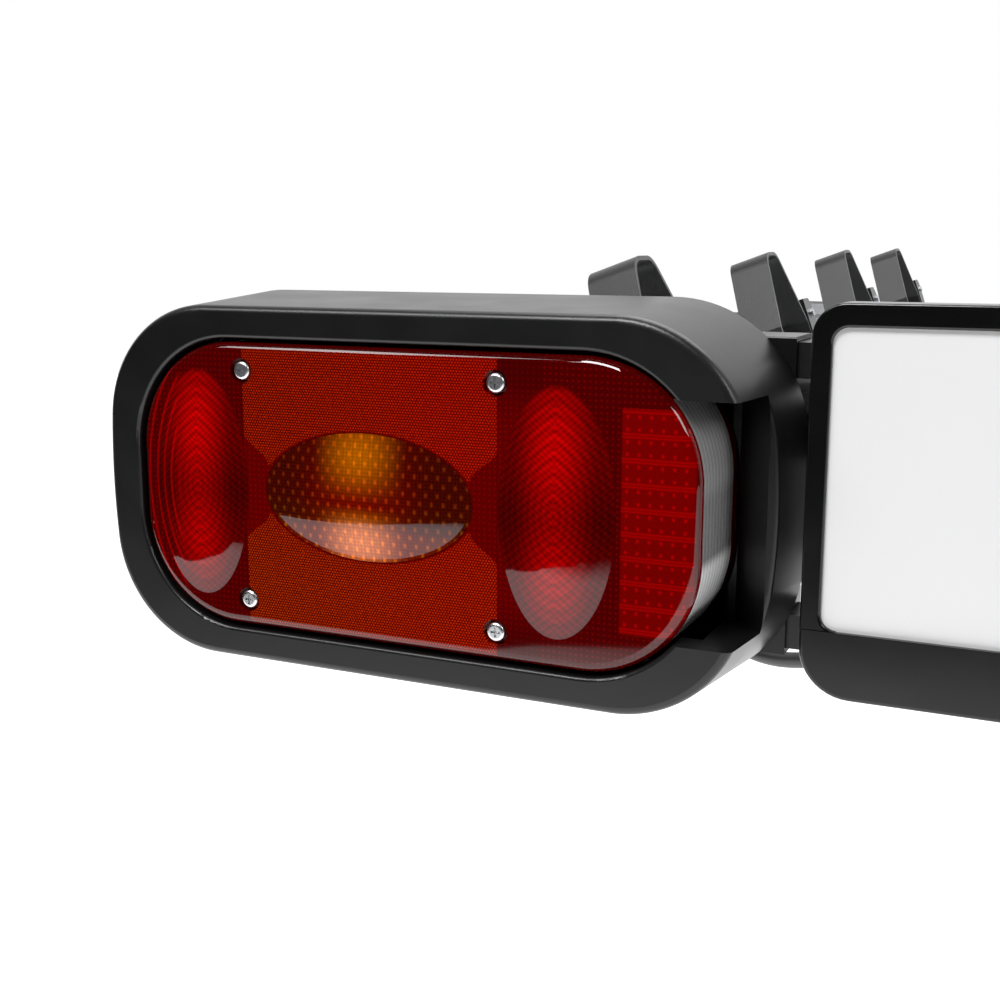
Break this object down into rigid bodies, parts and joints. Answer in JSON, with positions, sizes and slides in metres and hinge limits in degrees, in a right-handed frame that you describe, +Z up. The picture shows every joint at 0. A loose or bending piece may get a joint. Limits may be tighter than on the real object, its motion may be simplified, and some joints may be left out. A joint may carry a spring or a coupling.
{
  "type": "cycle carrier platform",
  "caption": "Tilting rear platform of a towbar cycle carrier: wheel trays with ratchet straps, sliding rear lamps and a number-plate holder.",
  "frame": {"origin": "centre of the tilt pivot's bore, midway between the two lugs", "axes": "+X across the vehicle to the right seen from behind, +Y forward to the vehicle, +Z up"},
  "size_m": [1.0962, 0.9005, 0.1671],
  "materials": {
    "silver": "satin extruded",
    "black_coat": "satin powder coat",
    "black_plastic": "fine moulded grain",
    "gloss_black": "smooth moulded",
    "red_lens": "clear red moulding",
    "amber_lens": "clear amber moulding",
    "clear_lens": "clear moulding",
    "white_plate": "reflective sheet",
    "webbing": "woven",
    "steel": "bright plated",
    "zinc": "zinc plated",
    "reflector": "metallised",
    "bulb": "clear",
    "cable_jacket": "smooth extruded"
  },
  "bodies": {
    "platform": {"side_beam_left": "black_coat", "side_beam_right": "black_coat", "front_cross_tube": "black_coat", "pivot_lugs": "black_coat", "light_bar_upper": "black_coat", "light_bar_lower": "black_coat", "light_bar_posts": "black_coat", "tray_saddles": "black_coat", "beam_plugs": "black_plastic", "tray_end_caps": "black_plastic", "light_bar_plugs": "black_plastic", "plate_brackets": "black_plastic", "plate_carrier": "black_plastic", "cable_sockets": "black_plastic", "wheel_tray_1": "silver", "wheel_tray_2": "silver", "wheel_tray_3": "silver", "wheel_tray_4": "silver", "saddle_bolts": "zinc", "plate_bolts": "zinc", "plate_bar_pins": "zinc", "ratchet_pins": "zinc", "plate_surround": "gloss_black", "number_plate": "white_plate", "wheel_straps_left": "webbing", "wheel_straps_right": "webbing", "ratchet_frames": "black_coat", "lamp_cable_left": "cable_jacket", "lamp_cable_right": "cable_jacket"},
    "lamp_left": {"lamp_housing_left": "black_plastic", "lamp_base_left": "black_plastic", "lamp_bracket_left": "black_plastic", "lamp_lens_left": "red_lens", "side_window_left": "clear_lens", "indicator_lens_left": "amber_lens", "lens_screws_left": "steel", "lamp_reflector_left": "reflector", "lamp_bulbs_left": "bulb", "cable_gland_left": "black_plastic"},
    "lamp_right": {"lamp_housing_right": "black_plastic", "lamp_base_right": "black_plastic", "lamp_bracket_right": "black_plastic", "lamp_lens_right": "red_lens", "side_window_right": "clear_lens", "indicator_lens_right": "amber_lens", "lens_screws_right": "steel", "lamp_reflector_right": "reflector", "lamp_bulbs_right": "bulb", "cable_gland_right": "black_plastic"},
    "plate_bar": {"plate_bar": "gloss_black"},
    "lever_1_left": {"ratchet_lever_1_left": "black_coat"},
    "lever_1_right": {"ratchet_lever_1_right": "black_coat"},
    "lever_2_left": {"ratchet_lever_2_left": "black_coat"},
    "lever_2_right": {"ratchet_lever_2_right": "black_coat"},
    "lever_3_left": {"ratchet_lever_3_left": "black_coat"},
    "lever_3_right": {"ratchet_lever_3_right": "black_coat"},
    "lever_4_left": {"ratchet_lever_4_left": "black_coat"},
    "lever_4_right": {"ratchet_lever_4_right": "black_coat"}
  },
  "joints": [
    {"name": "lamp_left_slide", "type": "slide", "parent": "platform", "child": "lamp_left", "axis": [-1, 0, 0], "range_m": [0, 0.06]},
    {"name": "lamp_right_slide", "type": "slide", "parent": "platform", "child": "lamp_right", "axis": [1, 0, 0], "range_m": [0, 0.06]},
    {"name": "plate_bar_hinge", "type": "hinge", "parent": "platform", "child": "plate_bar", "pos_m": [0, -0.8445, -0.04895], "axis": [1, 0, 0], "range_deg": [0, 70]},
    {"name": "lever_1_left_hinge", "type": "hinge", "parent": "platform", "child": "lever_1_left", "pos_m": [-0.35424, -0.7097, 0.05652], "axis": [0.9397, 0, 0.342], "range_deg": [0, 100]},
    {"name": "lever_1_right_hinge", "type": "hinge", "parent": "platform", "child": "lever_1_right", "pos_m": [0.35424, -0.7097, 0.05652], "axis": [0.9397, 0, -0.342], "range_deg": [0, 100]},
    {"name": "lever_2_left_hinge", "type": "hinge", "parent": "platform", "child": "lever_2_left", "pos_m": [-0.35424, -0.4907, 0.05652], "axis": [0.9397, 0, 0.342], "range_deg": [0, 100]},
    {"name": "lever_2_right_hinge", "type": "hinge", "parent": "platform", "child": "lever_2_right", "pos_m": [0.35424, -0.4907, 0.05652], "axis": [0.9397, 0, -0.342], "range_deg": [0, 100]},
    {"name": "lever_3_left_hinge", "type": "hinge", "parent": "platform", "child": "lever_3_left", "pos_m": [-0.35424, -0.2717, 0.05652], "axis": [0.9397, 0, 0.342], "range_deg": [0, 100]},
    {"name": "lever_3_right_hinge", "type": "hinge", "parent": "platform", "child": "lever_3_right", "pos_m": [0.35424, -0.2717, 0.05652], "axis": [0.9397, 0, -0.342], "range_deg": [0, 100]},
    {"name": "lever_4_left_hinge", "type": "hinge", "parent": "platform", "child": "lever_4_left", "pos_m": [-0.35424, -0.0527, 0.05652], "axis": [0.9397, 0, 0.342], "range_deg": [0, 100]},
    {"name": "lever_4_right_hinge", "type": "hinge", "parent": "platform", "child": "lever_4_right", "pos_m": [0.35424, -0.0527, 0.05652], "axis": [0.9397, 0, -0.342], "range_deg": [0, 100]}
  ]
}
